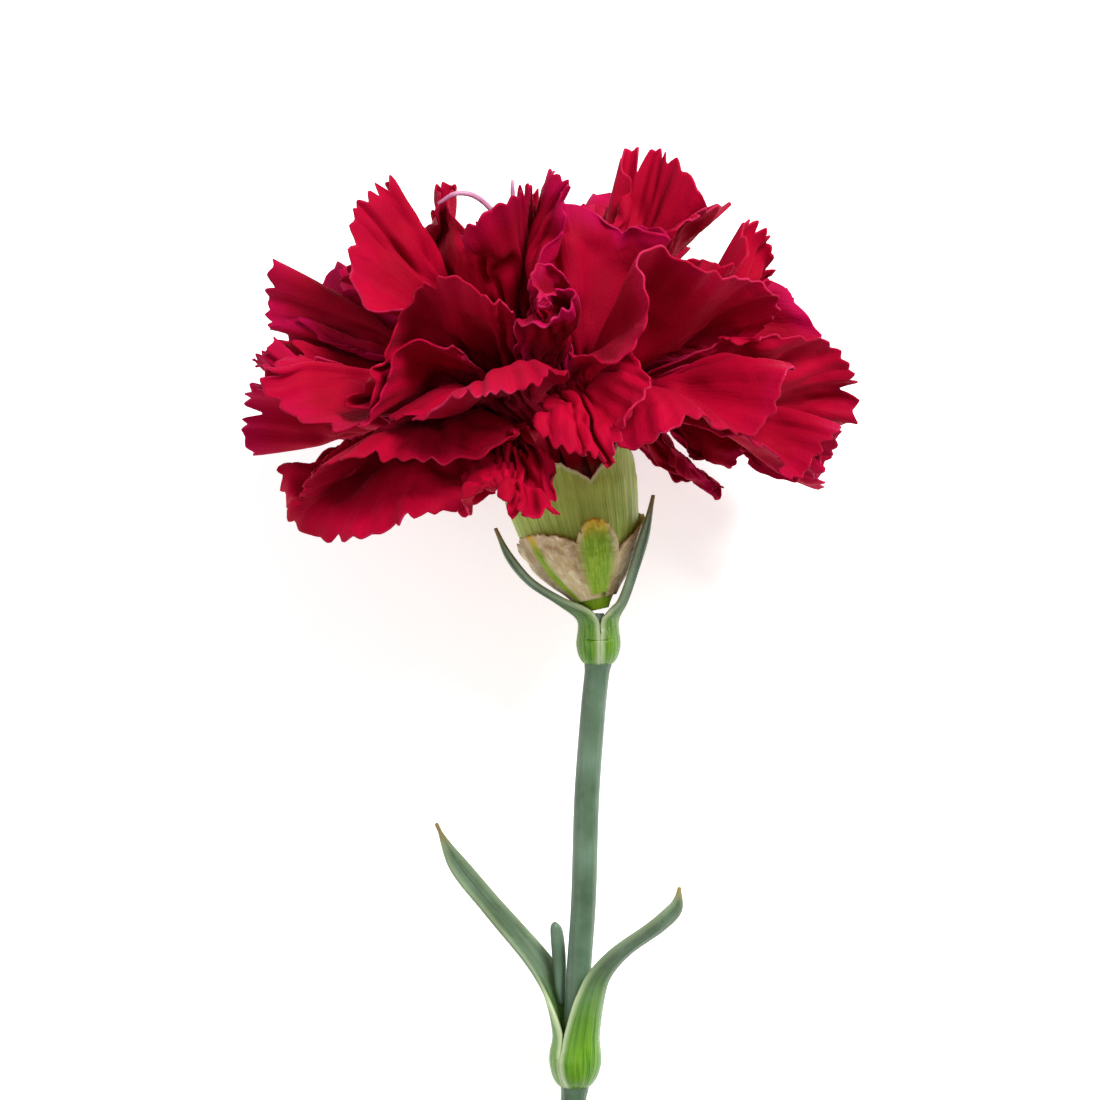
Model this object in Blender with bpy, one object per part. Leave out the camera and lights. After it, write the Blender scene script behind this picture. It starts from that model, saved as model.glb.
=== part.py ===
"""A cut carnation lying on its side: one stem with two leaf pairs, a calyx and a double head.

The flower is modelled as it grew, upright, and an empty then lays it down. Frames:
  growing frame  origin at the middle of the calyx mouth, +Z up the stem, -Y towards the viewer
  head frame     the growing frame leaned a little to -X, because the head nods on its stem
  world          +Z up from the table, +Y from the cut end of the stem to the head
"""

import math

import bmesh
import bpy
from mathutils import Matrix, Vector

MM = 0.001

# How it lies. The head rests on its back petals and the stem on its cut end.
TILT = math.radians(15.5)  # the stem's rise from the table to the head
NOD = math.radians(12.5)  # the head's lean on the stem
MOUTH_PLACE = Vector((3.27 * MM, 26.13 * MM, 27.76 * MM))  # the calyx mouth, above the table

# The head: petals set one after another by the golden angle, each in a layer of its own.
PETALS = 42
GOLDEN_ANGLE = math.radians(137.508)
FIRST_PETAL_AT = math.radians(71)  # the outermost petal points at the table
NUDGES = {0: 9, 1: 4, 2: -18, 4: -13, 7: -8, 9: -6, 12: -2}  # degrees that crowding turned some petals by
BREADTHS = {0: 0.9, 1: 1.25, 2: 1.2, 4: 0.6, 12: 0.75}  # some are broad fans, and some are folded narrow
PETAL_THICKNESS = 0.4 * MM
CLAW_DEPTH = 10.5 * MM  # how far a petal's narrow claw reaches down into the calyx
CLAW_WIDTH = 1.5 * MM
CLAW_TAPER = 0.6  # the claws close in towards the base of the calyx by this factor
CLAWS_OUTER_RADIUS = 7.2 * MM
CLAWS_INNER_RADIUS = 2.4 * MM
LIMB_LENGTH = 41.2 * MM  # calyx mouth to petal margin, along the petal
INNER_LONGER = 0.08  # the innermost petals are longer than the outermost by this share
LIMB_HALF_WIDTH = 18.5 * MM
BEND_LENGTH = 17 * MM  # a petal turns outwards over this much of its limb
OUTER_HEADING = math.radians(96)  # from the axis: the outermost petals droop
INNER_HEADING = math.radians(11)
CURL = math.radians(60)  # the outer part of each limb curls further over
CURL_STARTS = 0.38 * LIMB_LENGTH
BUNDLES = 5  # the petals lean together in bundles, with a groove between each two
RUFFLE = 1.8 * MM
LEFT_LONGER = 0.03  # petals on the left reach further by this share, those on the right less
RUFFLE_FULL_RADIUS = 24 * MM
SETTLE_HEIGHT = 7.5 * MM  # petals lower than this are pressed up by the table
SETTLE_SHARE = 0.42

# The calyx: a green tube, wide at the mouth, with five teeth.
CALYX_WALL = 0.45 * MM
CALYX_PROFILE = ((-15.6, 1.3), (-14.6, 1.9), (-13, 3.1), (-11.5, 4.5), (-9, 6.2), (-5.5, 7.4), (0, 8.4))
TOOTH_HEIGHT = 4.2 * MM
TOOTH_FLARE = 0.9 * MM
TEETH = 5

# The stem
CUT_SLOPE = math.tan(math.radians(35))


def clear_scene():
    for thing in list(bpy.data.objects):
        bpy.data.objects.remove(thing, do_unlink=True)


def material(name, colour, roughness):
    made = bpy.data.materials.new(name)
    made.use_nodes = True
    shader = made.node_tree.nodes["Principled BSDF"]
    shader.inputs["Base Color"].default_value = (*colour, 1)
    shader.inputs["Roughness"].default_value = roughness
    return made


def empty(name, parent, matrix):
    made = bpy.data.objects.new(name, None)
    bpy.context.scene.collection.objects.link(made)
    made.parent = parent
    made.matrix_local = matrix
    return made


def add_object(name, mesh_builder, look, parent):
    """Turns a filled bmesh into a smooth-shaded object under its empty."""
    mesh = bpy.data.meshes.new(name)
    mesh_builder.to_mesh(mesh)
    mesh_builder.free()
    mesh.materials.append(look)
    mesh.shade_smooth()
    mesh.set_sharp_from_angle(angle=math.radians(50))
    made = bpy.data.objects.new(name, mesh)
    bpy.context.scene.collection.objects.link(made)
    made.parent = parent
    return made


def thicken(sheet, thickness):
    """Gives a sheet its thickness, half to each side, and so closes it into a solid."""
    wall = sheet.modifiers.new("thickness", "SOLIDIFY")
    wall.thickness = thickness
    wall.offset = 0


def grid_sheet(rows, closed=False):
    """A bmesh of quads through rows of points; closed joins each row's end to its start."""
    sheet = bmesh.new()
    lines = [[sheet.verts.new(point) for point in row] for row in rows]
    for lower, upper in zip(lines, lines[1:]):
        count = len(lower)
        for i in range(count if closed else count - 1):
            j = (i + 1) % count
            sheet.faces.new((lower[i], lower[j], upper[j], upper[i]))
    return sheet


def between(table, position):
    """Straight-line interpolation in a table of (position, value, value...) rows."""
    for before, after in zip(table, table[1:]):
        if position <= after[0]:
            share = (position - before[0]) / (after[0] - before[0])
            return [a + (b - a) * share for a, b in zip(before[1:], after[1:])]
    return list(table[-1][1:])


def smooth_path(knots, steps):
    """Points on a Catmull-Rom curve through rows of numbers, so places and widths flow together."""
    rows = [knots[0], *knots, knots[-1]]
    path = []
    for k in range(len(knots) - 1):
        a, b, c, d = rows[k : k + 4]
        for step in range(steps):
            t = step / steps
            path.append(
                [
                    0.5 * (2 * q + (r - p) * t + (2 * p - 5 * q + 4 * r - s) * t * t
                           + (3 * q - p - 3 * r + s) * t**3)
                    for p, q, r, s in zip(a, b, c, d)
                ]
            )
    path.append(list(knots[-1]))
    return path


# ---------------------------------------------------------------- petals


def side(azimuth, centre, spread):
    """1 on the side of the head that centre names, in degrees, and falling to 0 around it."""
    away = math.remainder(azimuth - math.radians(centre), 2 * math.pi)
    return math.exp(-((away / math.radians(spread)) ** 2))


def heading(level, azimuth):
    """The direction a limb bends to, from the head's axis. level runs from 0, outermost, to 1."""
    spread = math.cos(OUTER_HEADING) + level * (math.cos(INNER_HEADING) - math.cos(OUTER_HEADING))
    # Degrees: one petal hangs far over the calyx, two more a little, and the left ones are lifted.
    hung = (42 * side(azimuth, 252, 14) - 9 * side(azimuth, 214, 22)) * (1 - level) ** 3
    hung += (18 * side(azimuth, 281, 14) + 18 * side(azimuth, 305, 20)) * (1 - level) ** 2
    raised = 11 * side(azimuth, 178, 34) * (1 - level) ** 1.5
    raised = raised + 30 * side(azimuth, 192, 32) * level * (1 - level)
    return math.acos(spread) + math.radians(hung - raised)


def curl(level, azimuth):
    """How far the outer part of a limb rolls over, most on the sides that face up and down."""
    by_side = 0.3 + 0.12 * math.sin(3 * azimuth + 2 * level + 1)
    by_side += (0.25 + 0.5 * (1 - level) ** 2) * side(azimuth, 262, 46)
    by_side += 0.5 * side(azimuth, 90, 60)
    return CURL * (0.95 - 0.6 * level * level) * by_side


def claw_radius(level):
    """Claws share the mouth of the calyx evenly by area."""
    outer, inner = CLAWS_OUTER_RADIUS**2, CLAWS_INNER_RADIUS**2
    return math.sqrt(outer + level * (inner - outer))


def ruffle(level, azimuth, reach, radius):
    """Waves that neighbouring layers share, so that petals nest and don't cut each other."""
    height = RUFFLE * (reach / LIMB_LENGTH) ** 2 * min(1, radius / RUFFLE_FULL_RADIUS)
    return height * (math.sin(8 * azimuth + 2 * level) + 0.5 * math.sin(13 * azimuth - 2 * level + 2))


def layer_point(level, azimuth, reach):
    """A point on a petal's layer: up in the calyx for a negative reach, else out along the limb."""
    radius = claw_radius(level)
    if reach <= 0:
        radius *= 1 + (CLAW_TAPER - 1) * -reach / CLAW_DEPTH
        return Vector((radius * math.cos(azimuth), radius * math.sin(azimuth), reach))
    outermost = min(1, reach / LIMB_LENGTH)
    reach *= 1 - LEFT_LONGER * math.cos(azimuth) * outermost
    # Limbs end shorter in the grooves, and the middle layers are fuller at the head's two sides.
    groove = ((1 - math.cos(BUNDLES * (azimuth - 1.5 * math.pi))) / 2) ** 3
    reach *= 1 + (INNER_LONGER * level - (0.05 + 0.12 * level) * groove) * outermost**2
    fuller = 0.3 * side(azimuth, 5, 45) + 0.1 * side(azimuth, 170, 40)
    reach *= 1 + fuller * level * (1 - level) * outermost
    bend, roll = heading(level, azimuth), curl(level, azimuth)

    def direction(along):
        turn = min(1, along / BEND_LENGTH)
        rolled = min(1, max(0, (along - CURL_STARTS) / (LIMB_LENGTH - CURL_STARTS)))
        return bend * turn * turn * (3 - 2 * turn) + roll * rolled * rolled * (2 - rolled)

    steps = 24
    height = 0.0
    for step in range(steps):
        angle = direction(reach * (step + 0.5) / steps)
        radius += math.sin(angle) * reach / steps
        height += math.cos(angle) * reach / steps
    angle = direction(reach)
    wave = ruffle(level, azimuth, reach, radius)
    radius += math.cos(angle) * wave
    height -= math.sin(angle) * wave
    azimuth -= 0.08 * math.sin(BUNDLES * (azimuth - 1.5 * math.pi)) * outermost
    return Vector((radius * math.cos(azimuth), radius * math.sin(azimuth), height))


def half_width(reach):
    """A petal is a narrow claw, then a fan."""
    if reach <= 0:
        return CLAW_WIDTH / 2 * (1 + (CLAW_TAPER - 1) * -reach / CLAW_DEPTH)
    share = reach / LIMB_LENGTH
    return CLAW_WIDTH / 2 + (LIMB_HALF_WIDTH - CLAW_WIDTH / 2) * share**1.35


def settled(point, to_world, to_head):
    """Presses the petals that would reach through the table up onto it."""
    placed = to_world @ point
    if placed.z < SETTLE_HEIGHT:
        placed.z = SETTLE_HEIGHT + (placed.z - SETTLE_HEIGHT) * SETTLE_SHARE
    return to_head @ placed


def petal(index, look, head):
    """One petal: rows from the claw to the margin, each an arc of its own layer."""
    level = index / (PETALS - 1)
    nudge, breadth = math.radians(NUDGES.get(index, 0)), BREADTHS.get(index, 1.1)
    to_world = head.matrix_world
    to_head = to_world.inverted()
    columns = 8
    rows = []
    for reach in (-CLAW_DEPTH, 0, 6 * MM, 11 * MM, 17 * MM, 25 * MM, 33 * MM, LIMB_LENGTH):
        row = []
        # The claws keep their even places whatever the limbs do.
        opening = min(1, max(0, (reach - 6 * MM) / (20 * MM)))
        middle = FIRST_PETAL_AT + index * GOLDEN_ANGLE + nudge * opening
        wider = 0.9 * (1 + (breadth - 1) * opening)
        for column in range(columns + 1):
            across = 2 * column / columns - 1
            # The margin is round: a limb's sides end short of its middle.
            here = reach * (1 - 0.16 * across * across * max(0, reach / LIMB_LENGTH) ** 2)
            radius = layer_point(level, middle, reach).xy.length
            if reach > 0:
                turned = across * half_width(reach) * wider / max(radius, 6.5 * MM)
            else:
                turned = across * half_width(reach) / radius
            azimuth = middle + turned
            row.append(settled(layer_point(level, azimuth, here), to_world, to_head))
        rows.append(row)
    made = add_object(f"petal_{index + 1:02d}", grid_sheet(rows), look, head)
    thicken(made, PETAL_THICKNESS)


# ---------------------------------------------------------------- calyx, ovary and scales


def calyx_radius(height):
    return between([(z * MM, r * MM) for z, r in CALYX_PROFILE], height)[0]


def calyx(look, head):
    """A funnel of one wall, with the gap between the teeth cut into its rim."""
    around = 30
    heights = [z * MM for z, _ in CALYX_PROFILE]
    rows = []
    for height in [*heights, "teeth"]:
        row = []
        for i in range(around):
            azimuth = 2 * math.pi * i / around
            if height == "teeth":
                point_share = 1 - abs(2 * ((azimuth * TEETH / (2 * math.pi)) % 1) - 1)
                rise = 0.6 * MM + TOOTH_HEIGHT * point_share
                radius = calyx_radius(0) + TOOTH_FLARE * point_share
            else:
                rise = height
                radius = calyx_radius(height)
            row.append((radius * math.cos(azimuth), radius * math.sin(azimuth), rise))
        rows.append(row)
    made = add_object("calyx", grid_sheet(rows, closed=True), look, head)
    thicken(made, CALYX_WALL)


def scale(name, azimuth, spread, foot, top, lift, look, head):
    """A papery scale of the epicalyx that hugs the foot of the calyx."""
    rows = []
    levels = 6
    for k in range(levels):
        share = k / (levels - 1)
        narrow = 1 - 0.6 * share**3
        row = []
        for i in range(7):
            across = i / 3 - 1
            height = foot + (top - foot) * share * (1 - 0.12 * across * across)
            radius = calyx_radius(height) + CALYX_WALL / 2 + lift
            angle = math.radians(azimuth + spread * narrow * across)
            row.append((radius * math.cos(angle), radius * math.sin(angle), height))
        rows.append(row)
    made = add_object(name, grid_sheet(rows), look, head)
    thicken(made, 0.3 * MM)


def tube(name, rings, sides, look, parent, cut_slope=0.0):
    """A solid through rings of (x, y, z, radius); cut_slope slants the first ring's plane."""
    solid = bmesh.new()
    lines = []
    places = [Vector(ring[:3]) for ring in rings]
    for k, ring in enumerate(rings):
        ahead = places[min(k + 1, len(rings) - 1)] - places[max(k - 1, 0)]
        turn = ahead.normalized().to_track_quat("Z", "Y")
        line = []
        for i in range(sides):
            angle = 2 * math.pi * i / sides
            offset = Vector((math.cos(angle), math.sin(angle), 0)) * ring[3]
            if k == 0:
                offset.z = cut_slope * offset.x
            line.append(solid.verts.new(places[k] + turn @ offset))
        lines.append(line)
    for lower, upper in zip(lines, lines[1:]):
        for i in range(sides):
            j = (i + 1) % sides
            solid.faces.new((lower[i], lower[j], upper[j], upper[i]))
    solid.faces.new(lines[0][::-1])
    solid.faces.new(lines[-1])
    return add_object(name, solid, look, parent)


def ovary(look, head):
    profile = ((-15.2, 0.7), (-14.3, 1.0), (-13, 1.35), (-11.9, 1.25), (-11, 0.8), (-10.4, 0.45))
    tube("ovary", [(0, 0, z * MM, r * MM) for z, r in profile], 10, look, head)


def style(name, knots, look, head):
    """A thread-like style, from the top of the ovary out through the middle of the head."""
    knots = [[value * MM for value in knot] for knot in knots]
    tube(name, smooth_path(knots, 2), 6, look, head)


# ---------------------------------------------------------------- stem and leaves


def stem(look, plant):
    """One grown piece: cut end, lower joint, internode, upper joint and the pedicel's top."""
    knots = [
        (-0.2, 0, -99.1, 1.65),
        (0.1, 0, -89.5, 1.65),
        (0.3, 0, -79.1, 1.65),
        (0.4, 0, -77.7, 2.0),
        (0.5, 0, -76.7, 2.65),
        (0.5, 0, -75.9, 2.55),
        (0.5, 0, -74.9, 2.0),
        (0.7, 0, -69.5, 1.75),
        (1, 0, -61.5, 1.6),
        (1.6, 0, -52.5, 1.62),
        (2, 0, -39.5, 1.62),
        (2.8, 0, -28.5, 1.6),
        (3.3, 0, -23.5, 1.55),
        (3.4, 0, -22.5, 1.75),
        (3.5, 0, -21.7, 2.15),
        (3.5, 0, -21.1, 2.05),
        (3.5, 0, -20.3, 1.55),
        (3.45, 0, -18.3, 1.3),
        (3.35, 0, -16.7, 1.1),
        (3.25, 0, -15.8, 0.95),
    ]
    rings = smooth_path([[value * MM for value in knot] for knot in knots], 2)
    tube("stem", rings, 12, look, plant, cut_slope=CUT_SLOPE)


def leaf(name, azimuth, twist, knots, thickness, look, plant):
    """A leaf whose foot clasps the stem and whose blade is a shallow channel.

    Each knot is x, y, z of the midrib, the radius of the blade's curve across, and the half
    angle that it spans, so a clasping foot is a half circle and a blade is nearly flat.
    """
    rows = []
    path = smooth_path(knots, 2)
    places = [Vector(knot[:3]) * MM for knot in path]
    for k, knot in enumerate(path):
        along = (places[min(k + 1, len(path) - 1)] - places[max(k - 1, 0)]).normalized()
        side = Vector((-math.sin(azimuth), math.cos(azimuth), 0))
        side = (side - along * side.dot(along)).normalized()
        beyond_foot = max(0, k / (len(path) - 1) - 0.4) / 0.6
        side = Matrix.Rotation(twist * beyond_foot, 3, along) @ side
        inward = along.cross(side)
        if k == 0 and inward.dot(Vector((-math.cos(azimuth), -math.sin(azimuth), 0))) < 0:
            raise ValueError(f"{name} is turned away from its stem")
        radius, half_angle = knot[3] * MM, math.radians(knot[4])
        row = []
        for i in range(7):
            angle = half_angle * (i / 3 - 1)
            row.append(places[k] + side * radius * math.sin(angle) + inward * radius * (1 - math.cos(angle)))
        rows.append(row)
    made = add_object(name, grid_sheet(rows), look, plant)
    thicken(made, thickness)


def lower_leaves(look, plant):
    leaf(
        "leaf_lower_right",
        math.radians(-35),
        math.radians(-20),
        [
            (2.75, -1.6, -75.4, 2.8, 84),
            (2.95, -1.65, -72.7, 2.9, 84),
            (3, -1.6, -69.5, 2.8, 84),
            (3.4, -1.8, -65.5, 2.8, 68),
            (4.2, -2.4, -62.3, 3.0, 48),
            (6.7, -3.6, -59.1, 3.4, 34),
            (10.8, -4.8, -55.9, 3.8, 26),
            (13.2, -5.2, -53.3, 3.4, 20),
            (13.7, -5.0, -50.5, 0.8, 12),
        ],
        0.5 * MM,
        look,
        plant,
    )
    leaf(
        "leaf_lower_left",
        math.radians(145),
        math.radians(-50),
        [
            (-1.75, 1.6, -75.4, 2.8, 84),
            (-1.75, 1.65, -72.7, 2.9, 84),
            (-1.6, 1.6, -69.5, 2.8, 84),
            (-1.95, 1.95, -66.5, 2.9, 70),
            (-2.75, 2.55, -63.5, 3.0, 48),
            (-5, 3.5, -59.9, 3.2, 34),
            (-10.1, 4.8, -53.9, 3.6, 24),
            (-14.8, 5.4, -48.1, 3.4, 20),
            (-17.4, 5.0, -43, 0.8, 12),
        ],
        0.5 * MM,
        look,
        plant,
    )


def side_shoot(look, plant):
    """A young shoot in the axil of the lower left leaf."""
    knots = [
        (-1.15, 1.3, -66.1, 0.3),
        (-1.35, 1.55, -63.9, 0.7),
        (-1.5, 1.6, -60.5, 0.85),
        (-1.8, 1.5, -57.1, 0.8),
        (-2.1, 1.3, -55.5, 0.35),
    ]
    tube("side_shoot", smooth_path([[v * MM for v in knot] for knot in knots], 2), 10, look, plant)


def upper_leaves(look, plant):
    leaf(
        "leaf_upper_right",
        math.radians(5),
        math.radians(-40),
        [
            (5.8, 0.2, -20.6, 2.3, 84),
            (5.95, 0.2, -18.5, 2.45, 84),
            (6.1, 0.0, -16.5, 2.5, 66),
            (7, -0.9, -14.1, 2.7, 38),
            (8.2, -3.0, -10.5, 3.0, 28),
            (9.5, -3.5, -5.7, 3.0, 21),
            (10.4, -3.0, -0.7, 0.7, 12),
        ],
        0.4 * MM,
        look,
        plant,
    )
    leaf(
        "leaf_upper_left",
        math.radians(185),
        math.radians(30),
        [
            (1.2, -0.2, -20.6, 2.3, 84),
            (1.05, -0.2, -18.5, 2.45, 84),
            (0.8, -0.3, -16.5, 2.5, 66),
            (-1.9, -1.5, -14.2, 2.7, 28),
            (-5.3, -2.9, -11.9, 2.8, 22),
            (-7.9, -3.5, -8.7, 2.6, 18),
            (-9.6, -3.3, -4.9, 0.7, 12),
        ],
        0.4 * MM,
        look,
        plant,
    )


def main():
    clear_scene()
    crimson = material("petal_crimson", (0.42, 0.0, 0.02), 0.6)
    calyx_green = material("calyx_green", (0.26, 0.4, 0.05), 0.5)
    papery = material("dry_scale", (0.45, 0.35, 0.18), 0.8)
    pale_green = material("ovary_green", (0.5, 0.6, 0.3), 0.5)
    mauve = material("style_mauve", (0.35, 0.12, 0.25), 0.5)
    stem_green = material("stem_green", (0.09, 0.17, 0.09), 0.45)
    leaf_green = material("leaf_green", (0.12, 0.22, 0.12), 0.5)

    laid_down = Matrix.Translation(MOUTH_PLACE) @ Matrix.Rotation(TILT - math.pi / 2, 4, "X")
    plant = empty("plant_laid_down", None, laid_down)
    head = empty("head_on_stem", plant, Matrix.Rotation(-NOD, 4, "Y"))
    bpy.context.view_layer.update()

    for index in range(PETALS):
        petal(index, crimson, head)
    calyx(calyx_green, head)
    inner, outer = (-13.8 * MM, -7.4 * MM, 0.75 * MM), (-13.0 * MM, -5.8 * MM, 1.55 * MM)
    scale("scale_inner_left", 222, 58, *inner, papery, head)
    scale("scale_inner_right", 42, 62, *inner, papery, head)
    scale("scale_outer_front", 274, 42, *outer, papery, head)
    scale("scale_outer_back", 112, 46, *outer, papery, head)
    ovary(pale_green, head)
    style("style_left", [(-0.3, 0, -10, 0.22), (-0.5, 0, 0, 0.28), (-0.5, 0, 17, 0.3), (-0.6, 0, 31, 0.3),
                         (-2.0, -0.6, 36.5, 0.3), (-4.6, -1.2, 38.4, 0.25)], mauve, head)
    style("style_right", [(0.3, 0, -10, 0.22), (0.5, 0, 0, 0.28), (0.5, 0, 17, 0.3), (0.5, 0, 31, 0.3),
                          (0.9, -0.4, 37, 0.3), (0.4, -1.0, 41, 0.25)], mauve, head)
    stem(stem_green, plant)
    upper_leaves(leaf_green, plant)
    lower_leaves(leaf_green, plant)
    side_shoot(leaf_green, plant)
    bpy.context.view_layer.update()


main()
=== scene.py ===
# %% [markdown]
# # A cut carnation, crimson, laid on a pale table
#
# The flower is a stem with two pairs of leaves, a green calyx wrapped in four dry scales, and
# forty-two thin petals packed into one head. The plain solids from the CAD model are the frame:
# they say where each piece sits and how big it is. This lesson remakes each piece around them
# with the frills, veins, bloom and wear of a real flower.

import math
import time

import bpy
import numpy as np
from mathutils import Matrix, Vector


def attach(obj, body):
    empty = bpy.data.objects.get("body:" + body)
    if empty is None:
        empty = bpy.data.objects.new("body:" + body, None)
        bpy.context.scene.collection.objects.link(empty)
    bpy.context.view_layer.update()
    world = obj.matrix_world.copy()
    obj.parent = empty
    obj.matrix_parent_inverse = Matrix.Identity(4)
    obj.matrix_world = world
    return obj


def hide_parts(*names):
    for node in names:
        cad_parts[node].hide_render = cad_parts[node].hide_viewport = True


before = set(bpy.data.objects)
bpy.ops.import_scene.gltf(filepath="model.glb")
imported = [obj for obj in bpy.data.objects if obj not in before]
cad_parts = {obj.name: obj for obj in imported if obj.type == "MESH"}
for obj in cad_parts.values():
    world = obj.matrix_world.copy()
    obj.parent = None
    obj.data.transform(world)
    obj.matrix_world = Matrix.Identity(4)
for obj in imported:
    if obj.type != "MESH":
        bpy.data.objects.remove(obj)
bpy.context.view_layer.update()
petal_nodes = sorted(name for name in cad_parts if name.startswith("petal_"))
print(f"{len(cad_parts)} solids, {len(petal_nodes)} of them petals")

# %% [markdown]
# ## Three frames of reference
#
# A flower is easiest to draw the way it grew, upright, so its pieces are worked out in
# millimetres in a growing frame: zero is the middle of the calyx mouth, +Z is up the stem and -Y
# is towards the viewer. The head nods a little, so it has a frame of its own that leans on the
# stem's. One matrix then lays everything down on the table.

# %% The matrices that lay the flower down
MM = 0.001
TILT = math.radians(15.5)  # how far the stem rises from the table to the head
NOD = math.radians(12.5)  # how far the head leans on the stem
MOUTH_PLACE = Vector((3.27, 26.13, 27.76)) * MM

laid_down = Matrix.Translation(MOUTH_PLACE) @ Matrix.Rotation(TILT - math.pi / 2, 4, "X")
head_on_stem = laid_down @ Matrix.Rotation(-NOD, 4, "Y")


def on_table(places, matrix):
    """Takes places in millimetres in one of the flower's frames to metres on the table."""
    turn = np.array(matrix)
    return np.asarray(places, float) * MM @ turn[:3, :3].T + turn[:3, 3]


print("the calyx mouth is", round(MOUTH_PLACE.z * 1000, 1), "mm above the table")

# %% [markdown]
# ## Camera, light and table
#
# The camera looks at the side of the head, square to the stem, as a botanical plate shows a
# flower. Because the flower lies down, that is a camera that looks almost straight down. The
# light is a wide soft box on the right, a weaker one on the left, and an even white sky. The
# colours are shown plainly, with no film curve, because a film curve turns a deep red to orange.

# %% Camera
camera_data = bpy.data.cameras.new("camera")
camera_data.lens, camera_data.sensor_width = 150, 36
camera_data.clip_start, camera_data.clip_end = 0.01, 10
camera = bpy.data.objects.new("camera", camera_data)
bpy.context.scene.collection.objects.link(camera)
aim = Matrix.Translation(Vector((-2.7, -587, -7.7)) * MM)
camera.matrix_world = laid_down @ aim @ Matrix.Rotation(math.pi / 2, 4, "X")
bpy.context.scene.camera = camera
bpy.context.scene.view_settings.view_transform = "Standard"

# %% Lights and sky
flower_middle = Vector(on_table([0, 0, -5], laid_down))


def soft_box(name, place, size, power):
    """A square studio light that faces the flower."""
    light = bpy.data.lights.new(name, "AREA")
    light.size, light.energy = size, power
    box = bpy.data.objects.new(name, light)
    bpy.context.scene.collection.objects.link(box)
    box.location = flower_middle + Vector(place)
    box.rotation_euler = (-Vector(place)).to_track_quat("-Z", "Y").to_euler()
    return box


soft_box("key_light", (0.26, 0.26, 0.55), 0.24, 5.6)
soft_box("fill_light", (-0.45, -0.10, 0.45), 0.5, 1.0)

sky = bpy.data.worlds.new("white_sky")
bpy.context.scene.world = sky
sky.use_nodes = True
sky.node_tree.nodes["Background"].inputs["Color"].default_value = (1, 1, 1, 1)
sky.node_tree.nodes["Background"].inputs["Strength"].default_value = 0.42

# %% [markdown]
# ## Helpers
#
# Blender's tools work on whatever is selected, so each step starts by selecting only its own
# piece. Most pieces of a flower are sheets, so one helper adds a flat grid and carries its
# corners to worked-out places. The grid already has a UV map, u across and v along, and that map
# later guides the veins.

# %% Selecting, sheets and finishing
def pick_only(piece):
    bpy.ops.object.select_all(action="DESELECT")
    piece.select_set(True)
    bpy.context.view_layer.objects.active = piece


def sheet(name, places):
    """A grid whose corners go to places[row, column]; u runs along a row, v up the rows."""
    rows, columns = places.shape[:2]
    bpy.ops.object.select_all(action="DESELECT")
    bpy.ops.mesh.primitive_grid_add(x_subdivisions=columns - 1, y_subdivisions=rows - 1, size=2)
    made = bpy.context.object
    made.name = made.data.name = name
    made.data.vertices.foreach_set("co", places.reshape(-1).astype(np.float32))
    made.data.update()
    return made


def note(piece, name, values):
    """Keeps one number per corner on the mesh, for the material to read."""
    piece.data.attributes.new(name, "FLOAT", "POINT").data.foreach_set(
        "value", np.asarray(values, np.float32).ravel()
    )


def thicken(piece, thickness):
    """Gives a sheet its real thickness, half to each side, which closes it."""
    wall = piece.modifiers.new("thickness", "SOLIDIFY")
    wall.thickness, wall.offset = thickness, 0
    pick_only(piece)
    bpy.ops.object.modifier_apply(modifier=wall.name)
    bpy.ops.object.shade_smooth()


def finish_piece(piece, look, node):
    """Gives a piece its material, ties it to the body and hides the plain solid it stands for."""
    piece.data.materials.clear()
    piece.data.materials.append(look)
    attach(piece, "root")
    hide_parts(node)


def smooth_path(knots, steps):
    """A Catmull-Rom curve through rows of numbers, so places and widths flow together."""
    knots = np.asarray(knots, float)
    rows = np.vstack([knots[:1], knots, knots[-1:]])
    share = np.arange(steps)[:, None] / steps
    path = []
    for a, b, c, d in zip(rows, rows[1:], rows[2:], rows[3:]):
        path.append(
            0.5 * (2 * b + (c - a) * share + (2 * a - 5 * b + 4 * c - d) * share**2
                   + (3 * b - a - 3 * c + d) * share**3)
        )
    return np.vstack([*path, knots[-1:]])


def ease(low, high, value):
    """0 below low, 1 above high, and an S-curve between."""
    share = np.clip((np.asarray(value, float) - low) / (high - low), 0, 1)
    return share * share * (3 - 2 * share)


# %% [markdown]
# ## Material parts that the whole plant shares
#
# Everything here grew, so everything has long fibres, and a colour that drifts from place to
# place. Those two effects are node groups, each built once and given its own numbers in each
# material. Long streaks stretch a noise along the piece's UV map. Mottle is a soft cloudy noise
# in the object's own space, so that no two petals come out alike.

# %% Small tools for building node trees
def paint(red, green, blue):
    """A colour by its swatch numbers, 0 to 255, made linear as shaders want it."""
    linear = [c / 12.92 if c < 0.04045 else ((c + 0.055) / 1.055) ** 2.4
              for c in (red / 255, green / 255, blue / 255)]
    return (*linear, 1)


def put(tree, kind, inputs=(), **settings):
    """Adds a node. Inputs are numbers or colours, or another node's output to link."""
    made = tree.nodes.new(kind)
    for name, value in settings.items():
        setattr(made, name, value)
    for name, value in dict(inputs).items():
        if isinstance(value, bpy.types.NodeSocket):
            tree.links.new(value, made.inputs[name])
        else:
            made.inputs[name].default_value = value
    return made


def ramp(tree, value, start, end, low=0.0, high=1.0):
    """A soft step: low where the value is at start, high where it is at end."""
    made = put(tree, "ShaderNodeMapRange", {"Value": value}, interpolation_type="SMOOTHSTEP")
    made.inputs["From Min"].default_value, made.inputs["From Max"].default_value = start, end
    made.inputs["To Min"].default_value, made.inputs["To Max"].default_value = low, high
    return made.outputs["Result"]


def times(tree, a, b):
    return put(tree, "ShaderNodeMath", {0: a, 1: b}, operation="MULTIPLY").outputs[0]


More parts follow.
